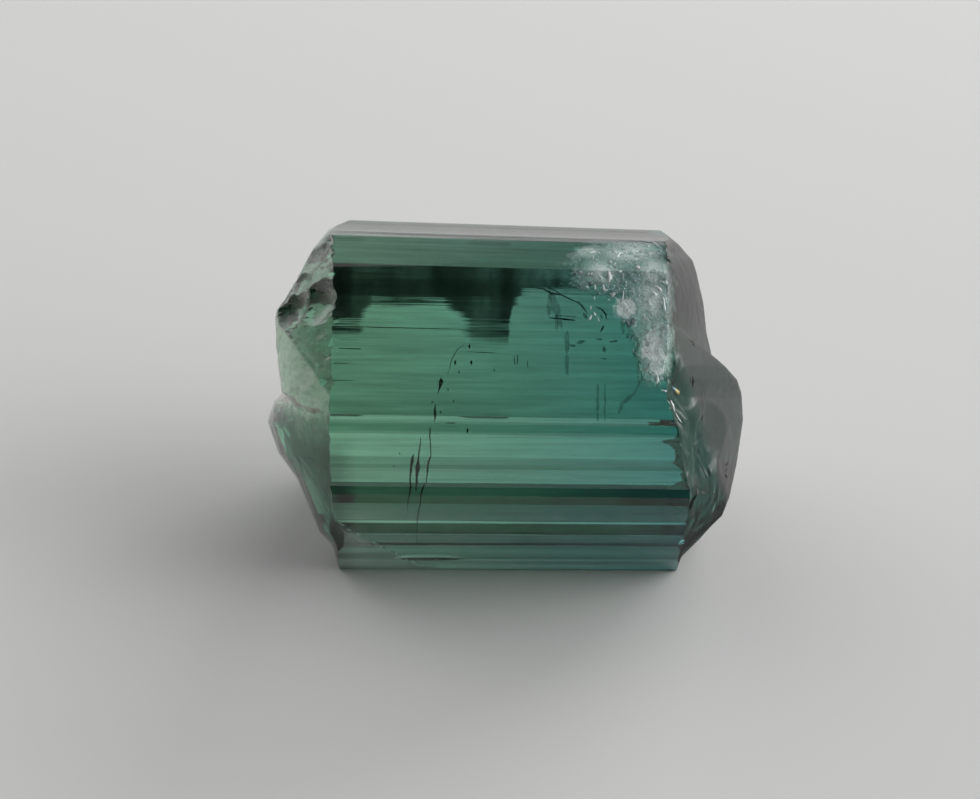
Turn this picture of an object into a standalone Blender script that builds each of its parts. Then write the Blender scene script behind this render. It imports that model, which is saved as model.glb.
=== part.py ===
"""A short broken length of a tourmaline crystal, lying on one of its prism faces.

The crystal's long axis runs along X. Its section is walked face by face, so a lean and a width make
each prism face and each groove between them. The break at either end stands out in lips and is
hollowed by scoops, as broken glass is. Flakes are gone from the lower left corner and from the foot
of the front.

Frame: metres, +Z up, the front is -Y, and the origin is on the resting face under the middle.
"""

import math
from collections import namedtuple

import bmesh
import bpy
import numpy as np
from mathutils import Matrix, Vector
from mathutils.geometry import delaunay_2d_cdt

MM = 0.001

# Driving dimensions, in millimetres and degrees.
TAPER = 0.0031        # share of its height and depth that the prism loses with each mm to the right
SLANT = 32.0          # the breaks are drawn on lines that slope back and down this steeply
FACE_PITCH = 0.40     # longest edge across a prism face
BREAK_PITCH = 0.24    # spacing of the points on a break
SHRINK_FROM = 2.0     # depth behind the front at which a break starts to slope inwards
FRONT_SPOTS = 91      # spots on the line of the front that depths are measured from
RIB_REACH = 0.7       # how far up and down that line is averaged to smooth out the ribs
CUTTER_DETAIL = 4     # subdivisions of the balls that cut the flakes

# The prism faces as (lean, width). A lean is the angle of the face's outward normal above the front.
# They go from the resting face up the front, over the crown and down the back.
FOOT_FACES = [(-53, 0.05), (-40, 0.90), (-29, 0.75), (-19, 0.55)]
RIBBED_FACES = [
    (-3, 0.40), (-22, 0.25), (-19, 0.50), (14, 0.25), (20, 0.20), (-17, 0.25),
    (6, 0.35), (19, 0.10), (-3, 0.25), (5, 0.65), (20, 0.35), (-2, 0.15),
]
SHOULDER_FACES = [(40, 2.25), (46, 1.65), (87, 1.25)]
CROWN_FACES = [(107, 0.50), (115, 0.85), (113, 0.75), (111, 0.55), (137, 0.25)]
BACK_LEAN = 149       # the wide face down the back, whose width closes the section
REAR_FACES = [(190, 1.55), (212, 3.10), (244, 0.90)]

# A break is drawn on the slant. Rise is the height across the slant, and depth is the distance
# behind the front along it. The edge holds (rise, x) where the break meets the front.
# shrink is how much it slopes inwards with each mm of depth.
Break = namedtuple("Break", "edge lips scoops shrink")

# A lip stands out of a break. reach holds (rise, x) and crest (rise, depth) for the line that it
# reaches out to furthest. Behind that line it dies away over its fall. A lip with round 1 is a
# roof, and one with round 2 is a cushion.
Lip = namedtuple("Lip", "reach crest fall round")

# A scoop is a hollow of a ball's shape. It goes through the point (x, rise, depth), and its ball
# lies outwards along an azimuth, from +X towards +Y, and an elevation.
Scoop = namedtuple("Scoop", "x rise depth azimuth elevation radius")

THIN_LIP = Lip(
    reach=[
        (2.40, -4.70), (2.75, -5.45), (3.10, -5.80), (4.20, -5.95), (4.90, -6.00), (5.20, -5.95),
        (5.55, -5.70), (6.15, -5.40), (6.80, -5.10), (7.30, -4.70), (7.60, -4.15),
    ],
    crest=[(2.3, 1.2), (3.5, 1.9), (5.0, 1.9), (6.4, 1.7), (7.6, 1.2)],
    fall=2.4,
    round=2,
)
FLAKE_LIP = Lip(
    reach=[
        (-1.50, -4.30), (-0.85, -4.50), (-0.50, -4.85), (0.85, -5.45), (1.50, -5.95),
        (2.30, -6.25), (2.85, -6.10), (4.00, -5.00),
    ],
    crest=[(-1.5, 0.6), (0.0, 2.6), (1.0, 3.4), (2.5, 4.6), (4.0, 5.2)],
    fall=1.1,
    round=2,
)
LEFT_BREAK = Break(
    edge=[(-1.50, -4.30), (0.20, -4.45), (2.40, -4.55), (6.40, -4.55), (7.10, -4.70), (7.60, -4.15)],
    lips=(THIN_LIP, FLAKE_LIP),
    scoops=(
        Scoop(-4.85, 6.75, 0.80, 202, 32, 1.2),
        Scoop(-5.10, 6.25, 1.00, 200, 10, 0.8),
        Scoop(-4.75, 5.60, 0.45, 225, 20, 0.9),
        Scoop(-5.25, 5.40, 1.10, 205, 20, 0.9),
    ),
    shrink=-0.03,
)

UPPER_LIP = Lip(
    reach=[
        (4.00, 5.45), (4.90, 5.25), (5.65, 5.15), (6.50, 4.95), (6.80, 4.85), (7.20, 4.50), (7.60, 4.00),
    ],
    crest=[(3.0, 4.0), (5.0, 3.4), (6.5, 2.4), (7.6, 1.0)],
    fall=5.0,
    round=1.15,
)
LOWER_LIP = Lip(
    reach=[
        (-1.50, 4.50), (-1.10, 4.65), (-0.65, 5.10), (-0.30, 5.40), (0.00, 5.70), (0.50, 5.90), (1.40, 6.10),
        (2.60, 6.25), (3.30, 6.20), (3.65, 6.05), (4.00, 5.70), (4.45, 5.14), (4.95, 4.50), (5.10, 4.15),
    ],
    crest=[(-1.5, 0.8), (0.0, 2.4), (1.5, 4.0), (3.2, 4.2), (4.0, 2.6), (4.95, 0.8), (5.1, 0.3)],
    fall=5.0,
    round=1.15,
)
RIGHT_BREAK = Break(
    edge=[
        (-1.50, 4.50), (0.00, 4.75), (0.75, 4.80), (2.30, 4.45), (3.20, 4.15), (7.10, 4.15), (7.60, 4.00),
    ],
    lips=(UPPER_LIP, LOWER_LIP),
    scoops=(Scoop(5.55, 2.20, 2.6, 325, 15, 5.0),),
    shrink=0.08,
)

# A flake is a ball-shaped bite out of the prism faces, with its centre and its radii in X, Y and Z.
Flake = namedtuple("Flake", "centre radii")
FLAKES = {
    "corner_flake": Flake((-6.25, -6.55, 0.80), (3.5, 3.5, 3.5)),
    "foot_flake": Flake((-1.90, -4.12, 0.42), (3.4, 0.8, 0.8)),
}


def section_faces():
    """Every face but the resting one as (lean, width), from the foot up the front and down the back."""
    before = FOOT_FACES + RIBBED_FACES + SHOULDER_FACES + CROWN_FACES
    height = sum(math.cos(math.radians(lean)) * width for lean, width in before + REAR_FACES)
    back_width = -height / math.cos(math.radians(BACK_LEAN))
    return before + [(BACK_LEAN, back_width)] + REAR_FACES


def split_edge(start, end):
    """Points from start to end, without start, no further apart than about the pitch."""
    steps = max(1, round(np.linalg.norm(end - start) / FACE_PITCH))
    return [start + (end - start) * step / steps for step in range(1, steps + 1)]


def section_outline():
    """The section's closed outline in Y and Z, centred on Y, standing on Z = 0."""
    points = [np.zeros(2)]
    for lean, width in section_faces():
        angle = math.radians(lean)
        corner = points[-1] + width * np.array((math.sin(angle), math.cos(angle)))
        points += split_edge(points[-1], corner)
    heel = np.array((points[-1][0], 0.0))
    points[-1] = heel
    points += split_edge(heel, points[0])[:-1]
    outline = np.array(points)
    outline[:, 0] -= (outline[:, 0].min() + outline[:, 0].max()) / 2
    return outline


def slanted(points):
    """The rise and the run of section points: height across the slant and distance along it."""
    sine, cosine = math.sin(math.radians(SLANT)), math.cos(math.radians(SLANT))
    y, z = points[:, 0], points[:, 1]
    return z * cosine + y * sine, y * cosine - z * sine


def front_profile(outline):
    """The rises and the runs along the front with its ribs smoothed out, from the foot to the crown."""
    profile = []
    for rise, run in zip(*slanted(outline)):
        if not profile or rise > profile[-1][0]:
            profile.append((rise, run))
    rises, runs = np.array(profile).T
    spots = np.linspace(rises[0], rises[-1], FRONT_SPOTS)
    near = np.abs(spots[:, None] - spots) < RIB_REACH
    return spots, near @ np.interp(spots, rises, runs) / near.sum(axis=1)


def read_line(points, t):
    """The values at t of a line through (t, value) points, held level beyond its ends."""
    return np.interp(t, *np.array(points).T)


def direction(azimuth, elevation):
    """The unit vector towards an azimuth, from +X towards +Y, and an elevation, in degrees."""
    azimuth, elevation = math.radians(azimuth), math.radians(elevation)
    level = np.array((math.cos(azimuth), math.sin(azimuth), 0)) * math.cos(elevation)
    return level + (0, 0, math.sin(elevation))


def scoop_centre(scoop, front):
    """The centre of a scoop's ball in X, Y and Z."""
    run = scoop.depth + np.interp(scoop.rise, *front)
    sine, cosine = math.sin(math.radians(SLANT)), math.cos(math.radians(SLANT))
    place = (scoop.x, run * cosine + scoop.rise * sine, scoop.rise * cosine - run * sine)
    return place + direction(scoop.azimuth, scoop.elevation) * scoop.radius


def break_x(broken, front, points):
    """Where a break lies along X behind points of the section."""
    rise, run = slanted(points)
    depth = run - np.interp(rise, *front)
    side = math.copysign(1, broken.edge[0][1])
    flat = side * read_line(broken.edge, rise) - broken.shrink * np.maximum(0, depth - SHRINK_FROM)
    outward = flat
    for lip in broken.lips:
        crest = read_line(lip.crest, rise)
        from_crest = np.abs(depth - crest) / np.where(depth < crest, crest, lip.fall)
        height = (side * read_line(lip.reach, rise) - flat) * (1 - from_crest**lip.round)
        height[(rise < lip.reach[0][0]) | (rise > lip.reach[-1][0])] = 0
        outward = np.maximum(outward, flat + height)
    for scoop in broken.scoops:
        centre = scoop_centre(scoop, front)
        inside = scoop.radius**2 - ((points - centre[1:]) ** 2).sum(axis=1)
        hollow = side * centre[0] - np.sqrt(np.maximum(0, inside))
        outward = np.where(inside > 0, np.minimum(outward, hollow), outward)
    return side * outward


def clearance(outline, points):
    """Distance from points to the outline, negative outside it."""
    nearest = np.full(len(points), np.inf)
    within = np.zeros(len(points), bool)
    for a, b in zip(outline, np.roll(outline, -1, axis=0)):
        edge = b - a
        along = np.clip((points - a) @ edge / (edge @ edge), 0, 1)
        nearest = np.minimum(nearest, np.linalg.norm(points - a - along[:, None] * edge, axis=1))
        crossed = (a[1] > points[:, 1]) != (b[1] > points[:, 1])
        if edge[1] != 0:
            within ^= crossed & (points[:, 0] < a[0] + edge[0] * (points[:, 1] - a[1]) / edge[1])
    return np.where(within, nearest, -nearest)


def break_points(outline):
    """Points of a triangular grid that fill the section inside its outline."""
    low, high = outline.min(axis=0), outline.max(axis=0)
    row_height = BREAK_PITCH * math.sqrt(3) / 2
    rows = range(1, int(high[1] / row_height) + 1)
    columns = range(int((high[0] - low[0]) / BREAK_PITCH) + 1)
    grid = np.array([(low[0] + (c + r % 2 / 2) * BREAK_PITCH, r * row_height) for r in rows for c in columns])
    return grid[clearance(outline, grid) > BREAK_PITCH / 2]


def placed(x, points):
    """Section points at x, in metres, on the tapering prism."""
    taper = 1 - TAPER * x
    return np.column_stack((x, points[:, 0] * taper, points[:, 1] * taper)) * MM


def crystal_mesh():
    """The prism between its two breaks, as one closed mesh."""
    outline = section_outline()
    front = front_profile(outline)
    points = np.vstack((outline, break_points(outline)))
    rim = [(i, (i + 1) % len(outline)) for i in range(len(outline))]
    _, _, triangles, origins, _, _ = delaunay_2d_cdt([Vector(p) for p in points], rim, [], 1, 1e-7)
    source = [origin[0] for origin in origins]
    mesh = bmesh.new()
    left, right = [
        [mesh.verts.new(corner) for corner in placed(break_x(broken, front, points), points)]
        for broken in (LEFT_BREAK, RIGHT_BREAK)
    ]
    for i, j in rim:
        mesh.faces.new((left[i], right[i], right[j], left[j]))
    for triangle in triangles:
        a, b, c = (source[corner] for corner in triangle)
        mesh.faces.new((left[c], left[b], left[a]))
        mesh.faces.new((right[a], right[b], right[c]))
    data = bpy.data.meshes.new("tourmaline_crystal")
    mesh.to_mesh(data)
    mesh.free()
    return data


def bite_flake(crystal, name, flake):
    """Cut a flake out of the crystal with a ball of its own radii."""
    mesh = bmesh.new()
    bmesh.ops.create_icosphere(mesh, subdivisions=CUTTER_DETAIL, radius=MM)
    place = Matrix.LocRotScale(Vector(flake.centre) * MM, None, Vector(flake.radii))
    bmesh.ops.transform(mesh, matrix=place, verts=mesh.verts)
    data = bpy.data.meshes.new(name)
    mesh.to_mesh(data)
    mesh.free()
    cutter = bpy.data.objects.new(name, data)
    bpy.context.scene.collection.objects.link(cutter)
    cutter.hide_render = True
    cutter.display_type = "WIRE"
    bite = crystal.modifiers.new(name, "BOOLEAN")
    bite.operation = "DIFFERENCE"
    bite.solver = "EXACT"
    bite.object = cutter


def tourmaline():
    """Blue-green glassy material that light passes through."""
    material = bpy.data.materials.new("tourmaline")
    material.use_nodes = True
    shader = material.node_tree.nodes["Principled BSDF"]
    shader.inputs["Base Color"].default_value = (0.10, 0.28, 0.21, 1.0)
    shader.inputs["Roughness"].default_value = 0.05
    shader.inputs["IOR"].default_value = 1.63
    shader.inputs["Transmission Weight"].default_value = 1.0
    return material


def main():
    for old in list(bpy.data.objects):
        bpy.data.objects.remove(old)
    crystal = bpy.data.objects.new("tourmaline_crystal", crystal_mesh())
    bpy.context.scene.collection.objects.link(crystal)
    crystal.data.materials.append(tourmaline())
    for name, flake in FLAKES.items():
        bite_flake(crystal, name, flake)


main()
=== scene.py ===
import math
import random
from collections import namedtuple

import bmesh
import bpy
import numpy as np
from mathutils import Matrix, Quaternion, Vector, noise
from mathutils.bvhtree import BVHTree
from mathutils.geometry import delaunay_2d_cdt


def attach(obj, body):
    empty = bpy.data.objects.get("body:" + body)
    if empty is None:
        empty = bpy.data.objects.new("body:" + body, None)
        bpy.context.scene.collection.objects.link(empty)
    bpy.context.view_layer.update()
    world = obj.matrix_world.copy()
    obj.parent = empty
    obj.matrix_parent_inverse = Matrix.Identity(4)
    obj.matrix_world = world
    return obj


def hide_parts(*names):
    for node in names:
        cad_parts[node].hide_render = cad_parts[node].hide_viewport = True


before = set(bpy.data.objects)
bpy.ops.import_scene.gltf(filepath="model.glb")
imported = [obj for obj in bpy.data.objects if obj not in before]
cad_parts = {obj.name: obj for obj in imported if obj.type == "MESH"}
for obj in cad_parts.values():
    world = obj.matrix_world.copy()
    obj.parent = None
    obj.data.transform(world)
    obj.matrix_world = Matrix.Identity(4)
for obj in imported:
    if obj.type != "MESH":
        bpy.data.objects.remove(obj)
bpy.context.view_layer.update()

MM = 0.001


# ---------------- the crystal's sizes, as in part.py
TAPER = 0.0031
SLANT = 32.0
SINE, COSINE = math.sin(math.radians(SLANT)), math.cos(math.radians(SLANT))
# The prism faces as (lean, width, tint). The tint is the share of light that a face lets through: painted
# shade, which darkens faces into the dark bands of shade seen through the crystal.
FOOT_FACES = [(-53, 0.05, 0.8), (-40, 0.90, 0.8), (-29, 0.75, 0.7), (-19, 0.55, 0.9)]
RIBBED_FACES = [
    (-3, 0.40, 0.92), (-22, 0.25, 0.95), (-19, 0.50, 1.0), (14, 0.25, 0.60), (20, 0.20, 0.60),
    (-17, 0.25, 0.9), (6, 0.35, 0.85), (19, 0.10, 0.6), (-3, 0.25, 0.75), (5, 0.65, 1.0),
    (20, 0.35, 0.7), (-2, 0.15, 1.0),
]
SHOULDER_FACES = [(40, 2.25, 0.82), (46, 1.65, 0.9), (87, 1.25, 0.56)]
CROWN_FACES = [(107, 0.50, 0.9), (115, 0.85, 0.9), (113, 0.75, 0.9), (111, 0.55, 0.9), (137, 0.25, 1.0)]
BACK_LEAN = 149
REAR_FACES = [(190, 1.55, 1.0), (212, 3.10, 1.0), (244, 0.90, 1.0)]

# A lip stands out of a break: how far it reaches along X and how deep its crest lies behind the front, as
# (rise, value) points, how far behind the crest it falls away, and how round it is (1 a roof, 2 a cushion).
Lip = namedtuple("Lip", "reach crest fall round")
# A scoop is a hollow of a ball's shape through a point of the break, the ball lying along a direction.
Scoop = namedtuple("Scoop", "x rise depth azimuth elevation radius")
Break = namedtuple("Break", "edge lips scoops shrink")

THIN_LIP = Lip(
    reach=[
        (2.4, -4.7), (2.75, -5.45), (3.1, -5.8), (4.2, -5.95), (4.9, -6.0), (5.2, -5.95),
        (5.55, -5.7), (6.15, -5.4), (6.8, -5.1), (7.3, -4.7), (7.6, -4.15),
    ],
    crest=[(2.3, 1.2), (3.5, 1.9), (5.0, 1.9), (6.4, 1.7), (7.6, 1.2)],
    fall=2.4,
    round=2,
)
FLAKE_LIP = Lip(
    reach=[
        (-1.5, -4.3), (-0.85, -4.5), (-0.5, -4.85), (0.85, -5.45), (1.5, -5.95), (2.3, -6.25),
        (2.85, -6.1), (4.0, -5.0),
    ],
    crest=[(-1.5, 0.6), (0.0, 2.6), (1.0, 3.4), (2.5, 4.6), (4.0, 5.2)],
    fall=1.1,
    round=2,
)
LEFT_BREAK = Break(
    edge=[(-1.5, -4.30), (0.2, -4.45), (2.4, -4.55), (6.4, -4.55), (7.1, -4.70), (7.6, -4.15)],
    lips=(THIN_LIP, FLAKE_LIP),
    scoops=(
        Scoop(-4.85, 6.75, 0.80, 202, 32, 1.2),
        Scoop(-5.10, 6.25, 1.00, 200, 10, 0.8),
        Scoop(-4.75, 5.60, 0.45, 225, 20, 0.9),
        Scoop(-5.25, 5.40, 1.10, 205, 20, 0.9),
    ),
    shrink=-0.03,
)
UPPER_LIP = Lip(
    reach=[(4.0, 5.45), (4.9, 5.25), (5.65, 5.15), (6.5, 4.95), (6.8, 4.85), (7.2, 4.5), (7.6, 4.0)],
    crest=[(3.0, 4.0), (5.0, 3.4), (6.5, 2.4), (7.6, 1.0)],
    fall=5.0,
    round=1.15,
)
LOWER_LIP = Lip(
    reach=[
        (-1.50, 4.50), (-1.10, 4.65), (-0.65, 5.10), (-0.30, 5.40), (0.00, 5.70), (0.50, 5.90), (1.40, 6.10),
        (2.60, 6.25), (3.30, 6.20), (3.65, 6.05), (4.00, 5.70), (4.45, 5.14), (4.95, 4.50), (5.10, 4.15),
    ],
    crest=[(-1.50, 0.8), (0.00, 2.4), (1.50, 4.0), (3.20, 4.2), (4.00, 2.6), (4.95, 0.8), (5.10, 0.3)],
    fall=5.0,
    round=1.15,
)
RIGHT_BREAK = Break(
    edge=[(-1.5, 4.50), (0.0, 4.75), (0.75, 4.80), (2.3, 4.45), (3.2, 4.15), (7.1, 4.15), (7.6, 4.0)],
    lips=(UPPER_LIP, LOWER_LIP),
    scoops=(
        Scoop(5.55, 2.20, 2.6, 325, 15, 5.0),
    ),
    shrink=0.08,
)
SHRINK_FROM = 2.0
FRONT_SPOTS = 91
RIB_REACH = 0.7

Flake = namedtuple("Flake", "centre radii")
FLAKES = {
    "corner_flake": Flake((-6.25, -6.55, 0.80), (3.5, 3.5, 3.5)),
    "foot_flake": Flake((-1.90, -4.12, 0.42), (3.4, 0.8, 0.8)),
}

# ---------------- the fine mesh
STRIP_WIDTH = 0.10     # mm, width of one growth strip of a prism face
STRIP_LEAN = 1.1       # degrees that a strip leans from its face
STRIP_SEED = 7
BREAK_PITCH = 0.065    # mm between points of a break
# A break's noises have so many waves in a millimetre, and finer ones by (fading, spacing, number).
GRAIN_PER_MM = 2.4
GRAIN_WAVES = (0.7, 2.1, 4)
GRAIN_DEPTH = {-1: 0.022, 1: 0.005}      # mm, on the left and on the right
GRAIN_FADE = ((1.8, 2.8), (0.3, 1.0))    # the left break is smoother low down, as (rises, shares)
CHIPS_PER_MM = 5.5
CHIP_WAVES = (0.8, 2.0, 3)
CHIP_DEPTH = 0.16      # mm, along the edge of a break
CHIP_REACH = 0.22      # mm behind the front
EDGE_WEAR = 0.02       # mm that the edge is worn back all along
NOISE_GAP = 9          # mm to either side, so that the two breaks have noises of their own
STEP_RISE = 3.14       # mm, where the step across the left break leaves its front edge
STEP_SLOPE = 0.715     # mm that it goes back for each mm that it rises
STEP_PROFILE = ((0.0, 0.06, 0.30), (0.0, 0.09, 0.05))    # mm, how deep it is, by the distance in front of it
RINGS = 48             # spans between the cross-sections
CUTTER_DETAIL = 5      # subdivisions of a flake's ball
BROKEN_LEAN = 0.35     # a face is a broken one where its normal's X is past this
SHARP_ANGLE = 28       # degrees between faces whose edge stays sharp
TRIANGLES_INSIDE = 1   # Blender's number for a triangulation that stops at the outline
SAME_POINT = 1e-7      # mm between points that it takes for one


def section_faces():
    """Every face but the resting one, from the foot up the front and down the back."""
    before = FOOT_FACES + RIBBED_FACES + SHOULDER_FACES + CROWN_FACES
    height = sum(math.cos(math.radians(lean)) * width for lean, width, _ in before + REAR_FACES)
    back_width = -height / math.cos(math.radians(BACK_LEAN))
    return before + [(BACK_LEAN, back_width, 1.0)] + REAR_FACES


def growth_strips(start, end, dice):
    """Points from start to end, without start, across a face of narrow strips that lean to and fro."""
    along = end - start
    across = Vector((-along.y, along.x)).normalized()
    steps = max(1, round(along.length / STRIP_WIDTH))
    heights = [0.0]
    for _ in range(steps):
        lean = math.radians(dice.gauss(0, STRIP_LEAN))
        heights.append(heights[-1] + math.tan(lean) * along.length / steps)
    points = []
    for step in range(1, steps + 1):
        share = step / steps
        points.append(start + along * share + across * (heights[step] - heights[-1] * share))
    return points


def section_outline():
    """The section's outline in Y and Z, centred on Y and standing on Z = 0, and the painted shade tint of
    each edge.
    """
    dice = random.Random(STRIP_SEED)
    points = [Vector((0.0, 0.0))]
    painted_shade_tints = []
    corner = points[0]
    for lean, width, tint in section_faces():
        angle = math.radians(lean)
        start, corner = corner, corner + width * Vector((math.sin(angle), math.cos(angle)))
        strips = growth_strips(start, corner, dice)
        points += strips
        painted_shade_tints += [tint] * len(strips)
    heel = Vector((points[-1].x, 0.0))
    points[-1] = heel
    steps = round(heel.x / STRIP_WIDTH)
    points += [heel.lerp(points[0], step / steps) for step in range(1, steps)]
    painted_shade_tints += [1.0] * steps
    outline = np.array([tuple(p) for p in points])
    outline[:, 0] -= (outline[:, 0].min() + outline[:, 0].max()) / 2
    return outline, painted_shade_tints


def slanted(points):
    """Rise and run of section points: height across the slant and distance along it."""
    y, z = points[:, 0], points[:, 1]
    return z * COSINE + y * SINE, y * COSINE - z * SINE


def unslanted(rise, run):
    """The Y and Z of a rise and a run."""
    return run * COSINE + rise * SINE, rise * COSINE - run * SINE


def front_line(outline):
    """The rises and the runs along the front, from the foot to the crown."""
    line = []
    for rise, run in zip(*slanted(outline)):
        if not line or rise > line[-1][0]:
            line.append((rise, run))
    return np.array(line).T


def front_profile(outline):
    """The front line with its ribs smoothed out."""
    rises, runs = front_line(outline)
    spots = np.linspace(rises[0], rises[-1], FRONT_SPOTS)
    near = np.abs(spots[:, None] - spots) < RIB_REACH
    return spots, near @ np.interp(spots, rises, runs) / near.sum(axis=1)


def read_line(points, t):
    """The values at t of a line through (t, value) points."""
    return np.interp(t, *np.array(points).T)


def direction(azimuth, elevation):
    """The unit vector towards an azimuth, from +X towards +Y, and an elevation, in degrees."""
    azimuth, elevation = math.radians(azimuth), math.radians(elevation)
    level = Vector((math.cos(azimuth), math.sin(azimuth), 0)) * math.cos(elevation)
    return level + Vector((0, 0, math.sin(elevation)))


def raggedness(side, rise, depth):
    """How far a break is worn back: a fine grain all over, and chips where it meets the front faces."""
    worn = np.empty(len(rise))
    for k, (up, back) in enumerate(zip(rise, depth)):
        spot = Vector((up, back, NOISE_GAP * side))
        grain = noise.fractal(spot * GRAIN_PER_MM, *GRAIN_WAVES)
        chip = max(0.0, noise.fractal(spot * CHIPS_PER_MM, *CHIP_WAVES))
        edge = (EDGE_WEAR + CHIP_DEPTH * chip) * math.exp(-max(0, back) / CHIP_REACH)
        worn[k] = GRAIN_DEPTH[side] * grain - edge
        if side < 0:
            worn[k] *= np.interp(up, *GRAIN_FADE)
            worn[k] -= np.interp(STEP_SLOPE * (up - STEP_RISE) - back, *STEP_PROFILE)
    return worn


def scoop_centre(scoop, front):
    """The centre of a scoop's ball in X, Y and Z."""
    place = Vector((scoop.x, *unslanted(scoop.rise, scoop.depth + np.interp(scoop.rise, *front))))
    return np.array(place + direction(scoop.azimuth, scoop.elevation) * scoop.radius)


def break_x(broken, front, points):
    """Where a break lies along X behind points of the section."""
    rise, run = slanted(points)
    depth = run - np.interp(rise, *front)
    side = math.copysign(1, broken.edge[0][1])
    flat = side * read_line(broken.edge, rise) - broken.shrink * np.maximum(0, depth - SHRINK_FROM)
    outward = flat
    for lip in broken.lips:
        crest = read_line(lip.crest, rise)
        from_crest = np.abs(depth - crest) / np.where(depth < crest, crest, lip.fall)
        height = (side * read_line(lip.reach, rise) - flat) * (1 - from_crest**lip.round)
        height[(rise < lip.reach[0][0]) | (rise > lip.reach[-1][0])] = 0
        outward = np.maximum(outward, flat + height)
    for scoop in broken.scoops:
        centre = scoop_centre(scoop, front)
        inside = scoop.radius**2 - ((points - centre[1:]) ** 2).sum(axis=1)
        floor = side * centre[0] - np.sqrt(np.maximum(0, inside))
        outward = np.where(inside > 0, np.minimum(outward, floor), outward)
    return side * (outward + raggedness(side, rise, depth))


def clearance(outline, points):
    """Distance from points to the outline, negative outside it."""
    nearest = np.full(len(points), np.inf)
    within = np.zeros(len(points), bool)
    for a, b in zip(outline, np.roll(outline, -1, axis=0)):
        edge = b - a
        along = np.clip((points - a) @ edge / (edge @ edge), 0, 1)
        nearest = np.minimum(nearest, np.linalg.norm(points - a - along[:, None] * edge, axis=1))
        crosses = (a[1] > points[:, 1]) != (b[1] > points[:, 1])
        with np.errstate(divide="ignore", invalid="ignore"):
            within ^= crosses & (points[:, 0] < a[0] + edge[0] * (points[:, 1] - a[1]) / edge[1])
    return np.where(within, nearest, -nearest)


def break_points(outline):
    """Points of a triangular grid that fill the section inside its outline."""
    low, high = outline.min(axis=0), outline.max(axis=0)
    row_height = BREAK_PITCH * math.sqrt(3) / 2
    rows = np.arange(1, int(high[1] / row_height) + 1)
    columns = np.arange(int((high[0] - low[0]) / BREAK_PITCH) + 1)
    grid = np.array([(low[0] + (c + r % 2 / 2) * BREAK_PITCH, r * row_height) for r in rows for c in columns])
    return grid[clearance(outline, grid) > BREAK_PITCH / 2]


def placed(x, points):
    """Section points at x as places on the tapering prism, in metres."""
    taper = 1 - TAPER * x
    return np.column_stack((x, points[:, 0] * taper, points[:, 1] * taper)) * MM


def side_faces(rim):
    """The faces along the prism, ring by ring."""
    faces = []
    for near in range(0, RINGS * len(rim), len(rim)):
        far = near + len(rim)
        faces += [(near + i, far + i, far + j, near + j) for i, j in rim]
    return faces


def break_faces(points, rim):
    """The triangles of both breaks, left and right by turns, from one triangulation of the section."""
    flat = [Vector(p) for p in points]
    _, _, triangles, origins, _, _ = delaunay_2d_cdt(flat, rim, [], TRIANGLES_INSIDE, SAME_POINT)
    source = [origin[0] for origin in origins]
    # The breaks' outlines are the first and the last ring. Their inner points follow all the rings.
    outer, inner = np.arange(len(rim)), np.arange(len(points) - len(rim))
    last = RINGS * len(rim)
    left = np.concatenate((outer, last + len(rim) + inner))
    right = np.concatenate((last + outer, last + len(rim) + len(inner) + inner))
    faces = []
    for triangle in triangles:
        a, b, c = (source[corner] for corner in triangle)
        faces += [(left[c], left[b], left[a]), (right[a], right[b], right[c])]
    return faces


def crystal_mesh():
    """The prism between its two breaks, as one closed mesh with flat faces and smooth breaks."""
    outline, painted_shade_tints = section_outline()
    front = front_profile(outline)
    points = np.vstack((outline, break_points(outline)))
    count = len(outline)
    left = break_x(LEFT_BREAK, front, points)
    right = break_x(RIGHT_BREAK, front, points)
    start, span = left[:count], (right - left)[:count]
    rings = [placed(start + span * ring / RINGS, outline) for ring in range(RINGS + 1)]
    vertices = np.vstack(rings + [placed(left, points)[count:], placed(right, points)[count:]])
    rim = [(i, (i + 1) % count) for i in range(count)]
    sides = side_faces(rim)
    ends = break_faces(points, rim)
    data = bpy.data.meshes.new("tourmaline")
    data.from_pydata(vertices, [], sides + ends)
    data.polygons.foreach_set("use_smooth", [False] * len(sides) + [True] * len(ends))
    # Painted shade: each face's darkness, one less its tint, stands in for the shade seen through it.
    shade = data.attributes.new("shade", "FLOAT", "FACE")
    shade.data.foreach_set("value", [1 - tint for tint in painted_shade_tints] * RINGS + [0.0] * len(ends))
    return data


def mesh_data(name, mesh):
    """The mesh as Blender's data, with the mesh itself freed."""
    data = bpy.data.meshes.new(name)
    mesh.to_mesh(data)
    mesh.free()
    return data


def new_object(name, data):
    """An object in the scene."""
    thing = bpy.data.objects.new(name, data)
    bpy.context.scene.collection.objects.link(thing)
    return thing


def new_piece(name, data):
    """An object in the scene that rides on the crystal's body."""
    piece = new_object(name, data)
    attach(piece, "root")
    return piece


def bite_flake(crystal, name, flake):
    """Cut a flake out of the crystal with a ball of its own radii."""
    mesh = bmesh.new()
    bmesh.ops.create_icosphere(mesh, subdivisions=CUTTER_DETAIL, radius=1.0)
    place = Matrix.LocRotScale(Vector(flake.centre) * MM, None, Vector(flake.radii) * MM)
    bmesh.ops.transform(mesh, matrix=place, verts=mesh.verts)
    cutter = new_object(name, mesh_data(name, mesh))
    cutter.data.shade_smooth()
    bite = crystal.modifiers.new(name, "BOOLEAN")
    bite.operation = "DIFFERENCE"
    bite.solver = "EXACT"
    bite.object = cutter
    return cutter


def apply_modifiers(piece):
    """Put the evaluated mesh in place of the piece's modifiers."""
    evaluated = piece.evaluated_get(bpy.context.evaluated_depsgraph_get())
    data = bpy.data.meshes.new_from_object(evaluated)
    piece.modifiers.clear()
    piece.data = data


def mark_breaks(data):
    """Mark the faces that don't run along the prism as broken ones."""
    normals = np.empty(len(data.polygons) * 3)
    data.polygons.foreach_get("normal", normals)
    broken = np.abs(normals[::3]) > BROKEN_LEAN
    data.attributes.new("broken", "FLOAT", "FACE").data.foreach_set("value", broken.astype(float))


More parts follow.
